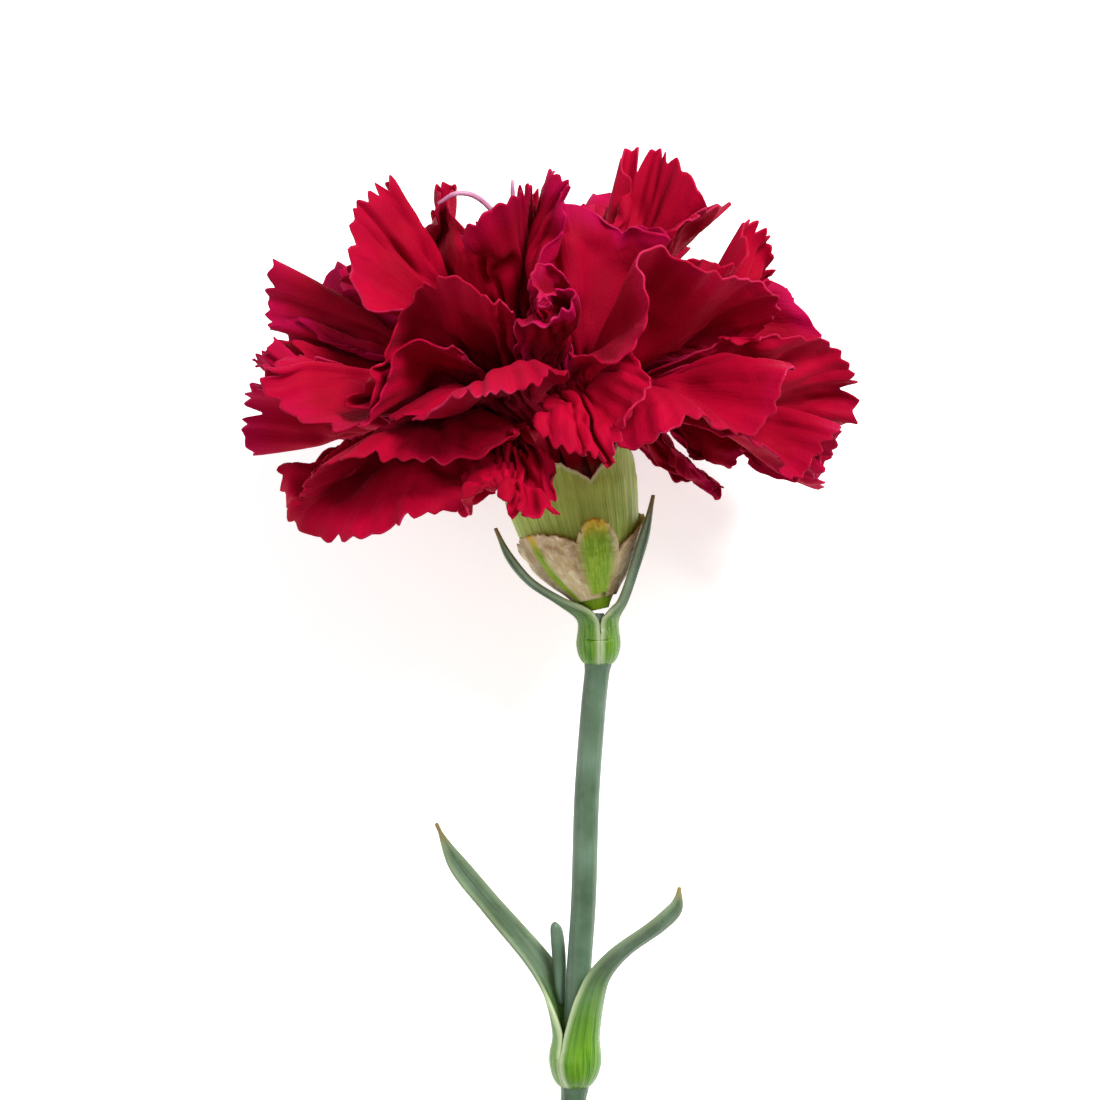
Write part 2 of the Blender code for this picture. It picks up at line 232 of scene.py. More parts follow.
def over(tree, mask, below, above):
    """Lays one colour over another where the mask is 1."""
    made = tree.nodes.new("ShaderNodeMix")
    made.data_type = "RGBA"
    for index, value in ((0, mask), (6, below), (7, above)):
        if isinstance(value, bpy.types.NodeSocket):
            tree.links.new(value, made.inputs[index])
        else:
            made.inputs[index].default_value = value
    return made.outputs[2]


def new_group(name, inputs):
    """An empty node group with a vector input, named number inputs and one mask output."""
    group = bpy.data.node_groups.new(name, "ShaderNodeTree")
    group.interface.new_socket("Vector", in_out="INPUT", socket_type="NodeSocketVector")
    for label, value in inputs.items():
        made = group.interface.new_socket(label, in_out="INPUT", socket_type="NodeSocketFloat")
        made.default_value = value
    group.interface.new_socket("Mask", in_out="OUTPUT", socket_type="NodeSocketFloat")
    return group, group.nodes.new("NodeGroupInput").outputs, group.nodes.new("NodeGroupOutput")


# %% The two shared groups
streaks, entry, leave = new_group("long_streaks", {"Across": 60, "Along": 3, "Wander": 0.4})
split = put(streaks, "ShaderNodeSeparateXYZ", {"Vector": entry["Vector"]})
across = times(streaks, split.outputs["X"], entry["Across"])
along = times(streaks, split.outputs["Y"], entry["Along"])
stretched = put(streaks, "ShaderNodeCombineXYZ",
                {"X": across, "Y": along, "Z": split.outputs["Z"]})
fibre = put(streaks, "ShaderNodeTexNoise",
            {"Vector": stretched.outputs[0], "Scale": 1, "Detail": 3, "Distortion": entry["Wander"]})
streaks.links.new(ramp(streaks, fibre.outputs["Fac"], 0.36, 0.64), leave.inputs["Mask"])

mottle, entry, leave = new_group("mottle", {"Scale": 100, "Low": 0.35, "High": 0.65})
cloud = put(mottle, "ShaderNodeTexNoise",
            {"Vector": entry["Vector"], "Scale": entry["Scale"], "Detail": 4})
spread = put(mottle, "ShaderNodeMapRange",
             {"Value": cloud.outputs["Fac"], "From Min": entry["Low"], "From Max": entry["High"]})
mottle.links.new(spread.outputs["Result"], leave.inputs["Mask"])


def streak_mask(tree, vector, across, along, wander=0.4):
    return put(tree, "ShaderNodeGroup", {"Vector": vector, "Across": across, "Along": along,
                                         "Wander": wander}, node_tree=streaks).outputs["Mask"]


def mottle_mask(tree, vector, scale, low=0.35, high=0.65):
    return put(tree, "ShaderNodeGroup", {"Vector": vector, "Scale": scale, "Low": low,
                                         "High": high}, node_tree=mottle).outputs["Mask"]


def start_material(name, **constants):
    """A new material; its constants are set straight on the shader's own sockets."""
    look = bpy.data.materials.new(name)
    look.use_nodes = True
    tree = look.node_tree
    shader = tree.nodes["Principled BSDF"]
    for label, value in constants.items():
        shader.inputs[label.replace("_", " ")].default_value = value
    return look, tree, shader, tree.nodes.new("ShaderNodeTexCoord").outputs


def finish_material(tree, shader, colour, height, relief):
    """Links the colour, and a relief in metres made from the height mask."""
    bump = put(tree, "ShaderNodeBump", {"Height": height, "Strength": 0.6, "Distance": relief})
    tree.links.new(colour, shader.inputs["Base Color"])
    tree.links.new(bump.outputs["Normal"], shader.inputs["Normal"])


print("node groups:", [group.name for group in bpy.data.node_groups])

# %% [markdown]
# ## Petal velvet
#
# A red carnation petal is matt and velvety, because its skin is made of tiny cones that glow at
# a grazing angle, and sheen is the shader's name for that. The blade is crimson with fine darker
# veins that run out from the claw. Towards the margin some petals turn magenta, and in places a
# thin pale pink line is painted along the very rim. Three numbers on each corner say where that
# is: margin, the distance to the rim in millimetres, reach, the distance out from the mouth of the
# calyx, and tone, which differs from petal to petal.

# %% Petal material
petal_velvet, tree, shader, coords = start_material(
    "petal_velvet", Roughness=0.7, Specular_IOR_Level=0.06, Sheen_Weight=0.05,
    Sheen_Roughness=0.45, Sheen_Tint=(1.0, 0.16, 0.3, 1),
)
margin = put(tree, "ShaderNodeAttribute", attribute_name="margin").outputs["Fac"]
tone = put(tree, "ShaderNodeAttribute", attribute_name="tone").outputs["Fac"]
reach = put(tree, "ShaderNodeAttribute", attribute_name="reach").outputs["Fac"]
veins = streak_mask(tree, coords["UV"], 85, 2.2, 0.5)
clouds = mottle_mask(tree, coords["Object"], 95)
colour = over(tree, clouds, paint(156, 0, 32), paint(186, 0, 46))
colour = over(tree, times(tree, tone, 0.5), colour, paint(118, 0, 27))
colour = over(tree, times(tree, veins, 0.14), colour, paint(112, 0, 22))
flush = times(tree, ramp(tree, margin, 4.5, 0.2), ramp(tree, tone, 0.35, 0.95, 0.06, 0.8))
flush = times(tree, flush, ramp(tree, mottle_mask(tree, coords["Object"], 160), 0.1, 0.7, 0.3, 1))
colour = over(tree, flush, colour, paint(182, 4, 78))
# A thin pale pink line painted along the very rim, only in places.
rim = times(tree, ramp(tree, margin, 0.22, 0.0), ramp(tree, clouds, 0.45, 1.0, 0.0, 0.4))
colour = over(tree, rim, colour, paint(198, 56, 106))
colour = over(tree, ramp(tree, reach, 3.5, -2.0), colour, paint(196, 206, 150))
grain = mottle_mask(tree, coords["Object"], 2400, 0.3, 0.7)
height = put(tree, "ShaderNodeMath", {0: times(tree, veins, -0.3), 1: times(tree, grain, 0.3)},
             operation="ADD").outputs[0]
finish_material(tree, shader, colour, height, 0.00012)

# %% [markdown]
# ## The shape of a petal before it is crowded
#
# Each petal grows in a layer of its own. It starts as a narrow claw deep in the calyx, bends
# outwards at the mouth, and rolls over towards its margin. The outermost bend most, the middle
# ones hardly at all, and a golden angle sets each one round from the last. The plain solids
# follow nearly the same layers, so the finished petals stay in the space the solids hold.

# %% The layers
PETALS = len(petal_nodes)
GOLDEN_ANGLE = math.radians(137.508)
FIRST_PETAL_AT = math.radians(71)  # the outermost petal points at the table
NUDGES = {1: 4, 2: -18, 4: -13, 7: -8, 9: -6, 12: -2}  # degrees that crowding turned some petals by
BREADTHS = {1: 1.25, 2: 1.2, 4: 0.6, 12: 0.75}  # some are broad fans, and some are folded narrow
CLAW_DEPTH, CLAW_WIDTH, CLAW_TAPER = 10.5, 1.5, 0.6
CLAWS_OUTER_RADIUS, CLAWS_INNER_RADIUS = 7.2, 2.4
LIMB_LENGTH, LIMB_HALF_WIDTH, BEND_LENGTH = 42, 18.5, 17
OUTER_HEADING, INNER_HEADING, CURL = math.radians(96), math.radians(11), math.radians(60)
RUFFLE, RUFFLE_FULL_RADIUS = 3.0, 24  # the waves reach their full height this far from the axis
BUNDLES = 5  # the petals lean together in bundles, with a groove between each two
SETTLE_HEIGHT, SETTLE_SHARE = 7.5 * MM, 0.42  # petals lower than this are pressed up by the table


def side(azimuth, centre, spread):
    """1 on the side of the head that centre names, in degrees, and falling to 0 around it."""
    away = np.remainder(azimuth - math.radians(centre) + math.pi, 2 * math.pi) - math.pi
    return np.exp(-((away / math.radians(spread)) ** 2))


def heading(level, azimuth):
    """The direction a limb bends to, from the head's axis. level runs from 0, outermost, to 1."""
    spread = math.cos(OUTER_HEADING) + level * (math.cos(INNER_HEADING) - math.cos(OUTER_HEADING))
    # In degrees: one petal hangs far over the calyx, two more a little, and the left ones lift.
    hung = (42 * side(azimuth, 252, 14) - 9 * side(azimuth, 214, 22)) * (1 - level) ** 3
    hung = hung + (18 * side(azimuth, 281, 14) + 18 * side(azimuth, 305, 20)) * (1 - level) ** 2
    raised = 11 * side(azimuth, 178, 34) * (1 - level) ** 1.5
    raised = raised + 30 * side(azimuth, 192, 32) * level * (1 - level)
    return math.acos(spread) + np.radians(hung - raised)


def curl(level, azimuth):
    """How far the outer part of a limb rolls over."""
    by_side = 0.3 + 0.12 * np.sin(3 * azimuth + 2 * level + 1)
    by_side = by_side + (0.25 + 0.5 * (1 - level) ** 2) * side(azimuth, 262, 46)
    by_side = by_side + 0.5 * side(azimuth, 90, 60)
    return CURL * (0.95 - 0.6 * level * level) * by_side


def layer_points(level, azimuth, reach):
    """Places on a petal's layer, in the head frame: reach runs from the claw out to the margin."""
    azimuth, reach = np.broadcast_arrays(azimuth, reach)
    outer, inner = CLAWS_OUTER_RADIUS**2, CLAWS_INNER_RADIUS**2
    radius = math.sqrt(outer + level * (inner - outer))
    radius = radius * (1 + (CLAW_TAPER - 1) * np.maximum(-reach, 0) / CLAW_DEPTH)
    height = np.minimum(reach, 0.0)
    outermost = np.clip(reach / LIMB_LENGTH, 0, 1)
    groove = ((1 - np.cos(BUNDLES * (azimuth - 1.5 * math.pi))) / 2) ** 3
    limb = np.maximum(reach, 0) * (1 - 0.03 * np.cos(azimuth) * outermost)
    limb = limb * (1 + (0.08 * level - (0.05 + 0.12 * level) * groove) * outermost**2)
    fuller = 0.3 * side(azimuth, 5, 45) + 0.1 * side(azimuth, 170, 40)
    limb = limb * (1 + fuller * level * (1 - level) * outermost)
    bend, roll = heading(level, azimuth), curl(level, azimuth)

    def direction(along):
        turn = np.minimum(1, along / BEND_LENGTH)
        rolled = np.clip((along / LIMB_LENGTH - 0.38) / 0.62, 0, 1)
        return bend * turn * turn * (3 - 2 * turn) + roll * rolled * rolled * (2 - rolled)

    steps = 24
    for step in range(steps):
        angle = direction(limb * (step + 0.5) / steps)
        radius = radius + np.sin(angle) * limb / steps
        height = height + np.cos(angle) * limb / steps
    angle = direction(limb)
    wave = RUFFLE * (limb / LIMB_LENGTH) ** 2 * np.minimum(1, radius / RUFFLE_FULL_RADIUS)
    wave = wave * (np.sin(8 * azimuth + 2 * level) + 0.5 * np.sin(13 * azimuth - 2 * level + 2))
    radius, height = radius + np.cos(angle) * wave, height - np.sin(angle) * wave
    azimuth = azimuth - 0.08 * np.sin(BUNDLES * (azimuth - 1.5 * math.pi)) * outermost
    return np.stack([radius * np.cos(azimuth), radius * np.sin(azimuth), height], -1)


def half_width(reach):
    """A petal is a narrow claw, then a fan."""
    claw = CLAW_WIDTH / 2 * (1 + (CLAW_TAPER - 1) * np.maximum(-reach, 0) / CLAW_DEPTH)
    fan = (LIMB_HALF_WIDTH - CLAW_WIDTH / 2) * np.maximum(reach / LIMB_LENGTH, 0) ** 1.25
    return claw + fan


def settled(places):
    """Presses what would reach through the table up onto it."""
    places = places.copy()
    height = places[..., 2]
    pressed = SETTLE_HEIGHT + (height - SETTLE_HEIGHT) * SETTLE_SHARE
    places[..., 2] = np.where(height < SETTLE_HEIGHT, pressed, height)
    return places


def petal_places(level, middle, across, reach, wider=1.0):
    """Places on the table of a petal's points, from their share across and their reach."""
    here = reach * (1 - 0.16 * across**2 * np.clip(reach / LIMB_LENGTH, 0, 1) ** 2)
    radius = np.linalg.norm(layer_points(level, np.full(reach.shape, middle), reach)[..., :2], axis=-1)
    share = np.where(reach > 0, 0.9 * wider, 1) / np.maximum(radius, np.where(reach > 0, 6.5, 0.1))
    return settled(on_table(layer_points(level, middle + across * half_width(reach) * share, here),
                            head_on_stem))


outermost_tip = petal_places(0, FIRST_PETAL_AT, np.zeros(1), np.full(1, LIMB_LENGTH))
print("the outermost petal's tip is at", outermost_tip.round(3))

# %% [markdown]
# ## Crowding the petals with cloth
#
# A carnation's folds come from crowding: each petal's outer part grows faster than its base and
# has nowhere to go, so it buckles against its neighbours. That is what a cloth simulation does
# well. All the petals are one loose mesh for this step. Each is pinned at its foot and only
# lightly held further out, its outer half grows by up to seven tenths, and self collision keeps
# the layers apart. Cloth is happiest with big things, so the flower is made thirty times larger
# for the simulation and brought back after it.

# %% The coarse petals that go into the simulation
COARSE_ROWS, COARSE_COLUMNS, LARGER = 18, 21, 30
chance = np.random.default_rng(7)
petal_plans = []
for index in range(PETALS):
    wider, longer = chance.uniform(1.0, 1.2), chance.uniform(0.95, 1.03)
    wider = BREADTHS.get(index, wider)
    phase = chance.uniform(0, 2 * math.pi, 3)
    reach = np.concatenate([[0.0], np.linspace(3, LIMB_LENGTH * longer, COARSE_ROWS - 1)])
    level = index / (PETALS - 1)
    middle = FIRST_PETAL_AT + index * GOLDEN_ANGLE + math.radians(NUDGES.get(index, 0))
    petal_plans.append((level, middle, wider, reach, phase))


def face_normals(places):
    """Which way a sheet faces at each of its places."""
    normal = np.cross(np.gradient(places, axis=1), np.gradient(places, axis=0))
    return normal / np.maximum(np.linalg.norm(normal, axis=-1, keepdims=True), 1e-12)


def coarse_petal(plan):
    """A petal's loose grid, with a few small waves for the folds to start from."""
    level, middle, wider, reach, phase = plan
    along, across = np.meshgrid(reach, np.linspace(-1, 1, COARSE_COLUMNS), indexing="ij")
    places = petal_places(level, middle, across, along, wider)
    wave = 2.2 * np.cos(across * 3.6 + phase[0]) + 1.0 * np.cos(across * 7.5 + phase[1])
    return places + face_normals(places) * (wave * (along / LIMB_LENGTH) ** 2 * MM)[..., None]


crowd = np.array([coarse_petal(plan) for plan in petal_plans])
print("coarse petals:", crowd.shape)

# %% The simulation
def weigh(cloth, name, weights):
    """A vertex group from one weight per corner."""
    group = cloth.vertex_groups.new(name=name)
    for corner, weight in enumerate(weights):
        group.add([corner], float(weight), "REPLACE")


def per_corner(row_values):
    """Repeats one number per row of every coarse petal along that row."""
    return np.repeat(np.asarray(row_values, float).ravel(), COARSE_COLUMNS)


def crowd_petals(crowd, frames=24):
    """Lets all the petals grow and push each other, and returns where they end up."""
    corner = np.arange(crowd[..., 0].size).reshape(crowd.shape[:3])
    faces = np.stack([corner[:, :-1, :-1], corner[:, :-1, 1:], corner[:, 1:, 1:], corner[:, 1:, :-1]], -1)
    mesh = bpy.data.meshes.new("crowd")
    mesh.from_pydata((crowd.reshape(-1, 3) * LARGER).tolist(), [], faces.reshape(-1, 4).tolist())
    cloth = bpy.data.objects.new("crowd", mesh)
    bpy.context.scene.collection.objects.link(cloth)
    reach = np.array([plan[3] for plan in petal_plans])
    held = np.where(reach <= 5, 1, np.interp(reach, [5, 10, 25, 41, 60], [0.95, 0.85, 0.10, 0.03, 0.03]))
    weigh(cloth, "held", per_corner(held))
    weigh(cloth, "growth", per_corner(np.clip((reach / LIMB_LENGTH - 0.45) / 0.55, 0, 1)))
    weigh(cloth, "stiff", per_corner(np.interp(reach, [0, 12, 24, 60], [1, 0.7, 0, 0])))
    weigh(cloth, "foot", per_corner(reach <= 15))

    soft = cloth.modifiers.new("cloth", "CLOTH")
    fabric, touch = soft.settings, soft.collision_settings
    fabric.quality, fabric.mass, fabric.air_damping = 5, 0.3, 4
    fabric.tension_stiffness = fabric.compression_stiffness = 15
    fabric.shear_stiffness, fabric.bending_stiffness = 8, 0.6
    fabric.tension_damping = fabric.compression_damping = 10
    fabric.shear_damping, fabric.bending_damping = 8, 1
    fabric.vertex_group_bending, fabric.bending_stiffness_max = "stiff", 15
    fabric.vertex_group_mass, fabric.pin_stiffness = "held", 1
    fabric.vertex_group_shrink, fabric.shrink_min, fabric.shrink_max = "growth", 0, -0.7
    fabric.effector_weights.gravity = 0
    touch.collision_quality, touch.distance_min, touch.use_self_collision = 2, 0.02, True
    touch.self_distance_min, touch.self_friction = 0.018, 1
    touch.vertex_group_self_collisions = "foot"

    bpy.ops.mesh.primitive_plane_add(size=8)
    table = bpy.context.object
    table.modifiers.new("solid", "COLLISION")
    table.collision.thickness_outer = 0.005
    soft.point_cache.frame_start, soft.point_cache.frame_end = 1, frames + 1
    for moment in range(1, frames + 1):
        bpy.context.scene.frame_set(moment)
    pick_only(cloth)
    bpy.ops.object.modifier_apply(modifier=soft.name)
    after = np.empty(crowd.size, np.float32)
    cloth.data.vertices.foreach_get("co", after)
    bpy.data.objects.remove(table)
    bpy.data.objects.remove(cloth)
    bpy.context.scene.frame_set(1)
    return after.reshape(crowd.shape).astype(float) / LARGER


started = time.time()
grown = crowd_petals(crowd)
moved = np.linalg.norm(grown - crowd, axis=-1) * 1000
print(f"petals moved {moved.mean():.1f} mm on average, {moved.max():.1f} at most,",
      f"in {time.time() - started:.0f} s")

# %% [markdown]
# ## Fine petals with toothed margins
#
# The coarse grids now carry the folds. Each finished petal is a much finer grid laid on one of
# them. Its margin is cut into twenty or so uneven teeth with a few deeper notches between them,
# its shoulders are rounded, and the thin outer edge gets a small frill of its own. Then the
# sheet gets the quarter of a millimetre that a real petal has.

# %% Sampling a coarse petal smoothly
def taps(at, count):
    """The four nearest rows and their Catmull-Rom weights."""
    first = np.clip(np.floor(at).astype(int), 0, count - 2)
    t = at - first
    weights = 0.5 * np.stack([-t + 2 * t**2 - t**3, 2 - 5 * t**2 + 3 * t**3,
                              t + 4 * t**2 - 3 * t**3, -(t**2) + t**3])
    return np.clip(np.stack([first - 1, first, first + 1, first + 2]), 0, count - 1), weights


def resample(net, rows_at, columns_at):
    """Places on a smooth surface through a net of places."""
    rows, row_weights = taps(rows_at, net.shape[0])
    columns, column_weights = taps(columns_at, net.shape[1])
    total = 0
    for i in range(4):
        for j in range(4):
            total = total + (row_weights[i] * column_weights[j])[..., None] * net[rows[i], columns[j]]
    return total


def zigzag(chance, positions, low, high, notch_every, deeper):
    """Uneven teeth: how far the edge is cut back at each position from -1 to 1."""
    at, cut = [-1.1], [0.0]
    while at[-1] < 1.1:
        at += [at[-1] + chance.uniform(low, high) * 0.55, 0]
        at[-1] = at[-2] + chance.uniform(low, high) * 0.45
        depth = chance.uniform(0.5, 1.7)
        if chance.random() < notch_every:
            depth += chance.uniform(0.6, 1.0) * deeper
        cut += [depth, chance.uniform(0, 0.5)]
    return np.interp(positions, at, cut)


# %% Making every petal
FINE_COLUMNS, LIMB_ROWS = 128, 46
PETAL_THICKNESS = 0.25
across_line = np.linspace(-1, 1, FINE_COLUMNS)
limb_share = 1 - (1 - np.linspace(0, 1, LIMB_ROWS)) ** 1.25  # rows lie closer towards the margin


def fine_petal(index, net):
    level, middle, wider, coarse_reach, _ = petal_plans[index]
    chance = np.random.default_rng(100 + index)
    full = coarse_reach[-1]
    cut = zigzag(chance, across_line, 0.07, 0.13, 0.16, 1.8) + 5.5 * np.abs(across_line) ** 8
    share, across = np.meshgrid(limb_share, across_line, indexing="ij")
    reach = share * full - cut * ease(0.70, 1, share)
    side_cut = zigzag(chance, 2 * limb_share - 1, 0.10, 0.2, 0.1, 1.0) * 0.03 * ease(0.45, 0.8, limb_share)
    narrowed = across * (1 - side_cut[:, None])
    rows_at = np.interp(reach, coarse_reach, np.arange(COARSE_ROWS))
    places = resample(net, rows_at, (narrowed + 1) / 2 * (COARSE_COLUMNS - 1))

    phase = chance.uniform(0, 2 * math.pi, 4)
    frill = 0.30 * np.sin(21 * across + phase[0] + 2 * np.sin(4 * across + phase[1]))
    frill += 0.16 * np.sin(43 * across + phase[2] + 3 * share)
    places = places + face_normals(places) * (frill * ease(0.62, 1, share) * MM)[..., None]

    claw_reach = np.array([-CLAW_DEPTH, -8, -5.5, -2.8])
    claw_along, claw_across = np.meshgrid(claw_reach, across_line, indexing="ij")
    claw = petal_places(level, middle, claw_across, claw_along)
    places = np.concatenate([claw, places])
    places[..., 2] = np.maximum(places[..., 2], 0.3 * MM)

    petal = sheet(f"velvet_{petal_nodes[index]}", places)
    reach = np.concatenate([claw_along, reach])
    from_end = full - cut[None, :] - reach
    from_side = half_width(reach) * wider * (1 - np.abs(across_line))[None, :]
    note(petal, "margin", np.where(reach < 12, 9, np.minimum(from_end, from_side)))
    note(petal, "reach", reach)
    note(petal, "tone", np.full(reach.shape, chance.random()))
    thicken(petal, PETAL_THICKNESS * MM)
    finish_piece(petal, petal_velvet, petal_nodes[index])
    return petal


started = time.time()
velvet_petals = [fine_petal(index, net) for index, net in enumerate(grown)]
print(f"{len(velvet_petals)} petals, {sum(len(p.data.polygons) for p in velvet_petals) * 2} triangles,",
      f"{time.time() - started:.0f} s")

# %% [markdown]
# ## The calyx
#
# The calyx is a green tube that holds the claws together. It is thin, ribbed from foot to mouth
# by the veins of five leaves grown together, and ends in five teeth with pale papery edges. It
# could be turned like a cup, but the teeth and the ribs vary round it, so it is a sheet rolled
# into a funnel, with its two long edges merged.

# %% Calyx material
calyx_skin, tree, shader, coords = start_material(
    "calyx_skin", Roughness=0.42, Specular_IOR_Level=0.35, Subsurface_Weight=0.08,
    Subsurface_Radius=(0.5, 0.8, 0.2), Subsurface_Scale=0.001,
)
ribs = streak_mask(tree, coords["UV"], 130, 1.6, 0.2)
patches = mottle_mask(tree, coords["Object"], 260)
up = put(tree, "ShaderNodeSeparateXYZ", {"Vector": coords["UV"]}).outputs["Y"]
colour = over(tree, patches, paint(140, 170, 52), paint(170, 196, 74))
colour = over(tree, times(tree, ribs, 0.55), colour, paint(186, 205, 104))
colour = over(tree, ramp(tree, up, 0.55, 0.1), colour, paint(132, 168, 22))
edge = put(tree, "ShaderNodeAttribute", attribute_name="margin").outputs["Fac"]
colour = over(tree, ramp(tree, edge, 0.5, 0.1), colour, paint(206, 214, 160))
finish_material(tree, shader, colour, ribs, 0.00015)

# %% Calyx shape
CALYX_PROFILE = [(-15.6, 1.3), (-14.6, 1.9), (-13, 3.1), (-11.5, 4.5), (-9, 6.2), (-5.5, 7.4), (0, 8.4)]
profile = smooth_path(CALYX_PROFILE, 5)


def calyx_radius(height):
    return np.interp(height, profile[:, 0], profile[:, 1])


def merge_doubles(piece, distance=1e-6):
    pick_only(piece)
    bpy.ops.object.mode_set(mode="EDIT")
    bpy.ops.mesh.select_all(action="SELECT")
    bpy.ops.mesh.remove_doubles(threshold=distance)
    bpy.ops.object.mode_set(mode="OBJECT")


def calyx_funnel():
    around = np.linspace(0, 2 * math.pi, 181)
    tooth = 1 - np.abs(2 * np.mod(around * 5 / (2 * math.pi), 1) - 1)
    fray = 0.35 * np.sin(47 * around) * np.sin(13 * around + 1) * (tooth > 0.05)
    rise = 0.6 + 4.2 * tooth**0.85 + fray * tooth
    places, margin = [], []
    for height, radius in profile:
        rib = 1 + 0.008 * np.sin(35 * around) * ease(-13, -6, height)
        places.append(np.stack([radius * rib * np.cos(around), radius * rib * np.sin(around),
                                np.full(around.shape, height)], -1))
        margin.append(np.full(around.shape, 9.0) if height < -0.5 else rise)
    for share in np.linspace(0, 1, 9)[1:]:
        radius = 8.4 + 0.9 * tooth * share**1.5
        places.append(np.stack([radius * np.cos(around), radius * np.sin(around), rise * share], -1))
        margin.append(rise * (1 - share) * 0.6)
    funnel = sheet("ribbed_calyx", on_table(places, head_on_stem))
    note(funnel, "margin", margin)
    merge_doubles(funnel)
    thicken(funnel, 0.38 * MM)
    finish_piece(funnel, calyx_skin, "calyx")
    return funnel


calyx = calyx_funnel()
print("calyx faces:", len(calyx.data.polygons))

# %% [markdown]
# ## The dry scales
#
# Four little bracts hug the foot of the calyx. Each has a living green keel down its middle, but
# its broad sides have withered to crumpled tan paper with a ragged edge. They are small sheets
# pushed in and out by a few crossing waves for the crumples, and one material goes from green to
# paper by the distance from the keel.

# %% Scale material
dry_scale, tree, shader, coords = start_material(
    "dry_scale_skin", Roughness=0.6, Specular_IOR_Level=0.3, Subsurface_Weight=0.06,
    Subsurface_Radius=(0.8, 0.6, 0.3), Subsurface_Scale=0.001,
)
parts = put(tree, "ShaderNodeSeparateXYZ", {"Vector": coords["UV"]}).outputs
keel = put(tree, "ShaderNodeAttribute", attribute_name="keel").outputs["Fac"]
crumple = mottle_mask(tree, coords["Object"], 900)
fibres = streak_mask(tree, coords["UV"], 30, 4, 0.8)
paper = over(tree, crumple, paint(196, 172, 122), paint(222, 206, 168))
paper = over(tree, times(tree, fibres, 0.35), paper, paint(164, 134, 88))
paper = over(tree, ramp(tree, mottle_mask(tree, coords["Object"], 330), 0.7, 1.0, 0, 0.6), paper,
             paint(150, 112, 72))
living = over(tree, fibres, paint(116, 154, 18), paint(146, 176, 40))
living = over(tree, ramp(tree, parts["Y"], 0.72, 1.0), living, paint(212, 178, 54))
colour = over(tree, keel, paper, living)
finish_material(tree, shader, colour, crumple, 0.0003)

# %% Scale shapes
def crumpled_scale(node, azimuth, spread, foot, top, lift, keel_width):
    """A scale from its place in degrees round the calyx, its foot and top, and its lift off it."""
    chance = np.random.default_rng(int(azimuth))
    phase = chance.uniform(0, 2 * math.pi, 4)
    across, share = np.meshgrid(np.linspace(-1, 1, 41), np.linspace(0, 1, 33))
    ragged = zigzag(chance, across[0], 0.12, 0.26, 0.25, 1.2) * 0.30
    ragged = ragged + 1.4 * across[0] ** 2
    height = foot + (top - foot) * share - ragged * ease(0.5, 1, share)
    narrow = 1 - 0.45 * share**3
    wave = np.sin(5 * across + 7 * share + phase[0]) + 0.8 * np.sin(11 * across - 6 * share + phase[1])
    wave += 0.6 * np.sin(17 * across + 15 * share + phase[2])
    radius = calyx_radius(height) + 0.22 + lift * (0.45 + 0.35 * share)
    radius = radius + 0.11 * wave * ease(0.15, 0.7, share) + 0.25 * ease(0.8, 1, share)
    angle = np.radians(azimuth + spread * narrow * across)
    places = np.stack([radius * np.cos(angle), radius * np.sin(angle), height], -1)
    piece = sheet(f"withered_{node}", on_table(places, head_on_stem))
    note(piece, "keel", 1 - ease(keel_width * 0.6, keel_width * 1.4, np.abs(across)))
    thicken(piece, 0.2 * MM)
    finish_piece(piece, dry_scale, node)
    return piece


crumpled_scale("scale_inner_left", 222, 66, -14.2, -4.4, 0.75, 0.10)
crumpled_scale("scale_inner_right", 42, 104, -14.2, -4.4, 0.75, 0.06)
crumpled_scale("scale_outer_front", 282, 24, -13.6, -4.0, 1.3, 0.75)
crumpled_scale("scale_outer_back", 112, 46, -13.6, -4.6, 1.3, 0.4)
print("four scales made")

# %% [markdown]
# ## Leaves
#
# The leaves come in pairs. Their feet are fused into a glossy swollen collar round each joint of
# the stem, and each then opens out of it with a pale margin into a narrow blade, shaped like a
# gutter and covered in a grey-green wax. A leaf is a sheet whose rows are arcs: half a circle
# round the stem at the foot, nearly flat at the tip. The first rows close the collar in to the
# stem.

# %% Leaf material
leaf_wax, tree, shader, coords = start_material(
    "leaf_wax", Roughness=0.42, Specular_IOR_Level=0.4,
    Subsurface_Weight=0.05, Subsurface_Radius=(0.3, 0.6, 0.2), Subsurface_Scale=0.001,
)
parts = put(tree, "ShaderNodeSeparateXYZ", {"Vector": coords["UV"]}).outputs
foot = put(tree, "ShaderNodeAttribute", attribute_name="foot").outputs["Fac"]
margin = put(tree, "ShaderNodeAttribute", attribute_name="margin").outputs["Fac"]
fibres = streak_mask(tree, coords["UV"], 26, 2.5, 0.3)
bloom = mottle_mask(tree, coords["Object"], 210)
colour = over(tree, bloom, paint(60, 84, 50), paint(94, 120, 92))
colour = over(tree, times(tree, fibres, 0.3), colour, paint(80, 108, 70))
fresh = over(tree, fibres, paint(70, 124, 14), paint(104, 150, 26))
colour = over(tree, foot, colour, fresh)
pale_edge = times(tree, ramp(tree, margin, 0.9, 0.1), ramp(tree, foot, 0, 0.5, 0.25, 0.8))
colour = over(tree, pale_edge, colour, paint(190, 206, 160))
withered = ramp(tree, parts["Y"], 0.93, 0.99)
colour = over(tree, withered, colour, paint(150, 130, 74))
rough = ramp(tree, foot, 0.2, 0.9, 0.5, 0.2)
tree.links.new(rough, shader.inputs["Roughness"])
finish_material(tree, shader, colour, fibres, 0.00012)


